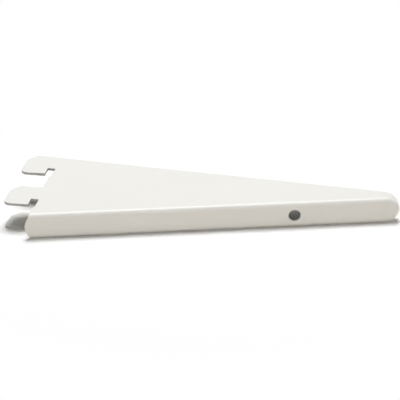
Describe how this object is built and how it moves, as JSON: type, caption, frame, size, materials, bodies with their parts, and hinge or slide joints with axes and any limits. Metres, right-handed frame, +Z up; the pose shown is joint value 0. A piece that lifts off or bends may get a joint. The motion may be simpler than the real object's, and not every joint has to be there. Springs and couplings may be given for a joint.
{
  "type": "shelf bracket",
  "caption": "Folded sheet-steel shelf bracket: a tapering channel whose side plates lean outward a little, with hooks at the back for a slotted upright, a screw hole in the web and a round closed nose.",
  "frame": {"origin": "middle of the back edges at the height of the shelf, where the bracket meets the face of the upright", "axes": "+X forward from the upright to the nose, +Y across the channel, +Z up, with the free edges that carry the shelf at Z = 0"},
  "size_m": [0.187, 0.019, 0.0608],
  "materials": {
    "white_powder_coat": "warm white powder coat, semi-gloss"
  },
  "bodies": {
    "root": {"bracket": "white_powder_coat"}
  },
  "joints": []
}
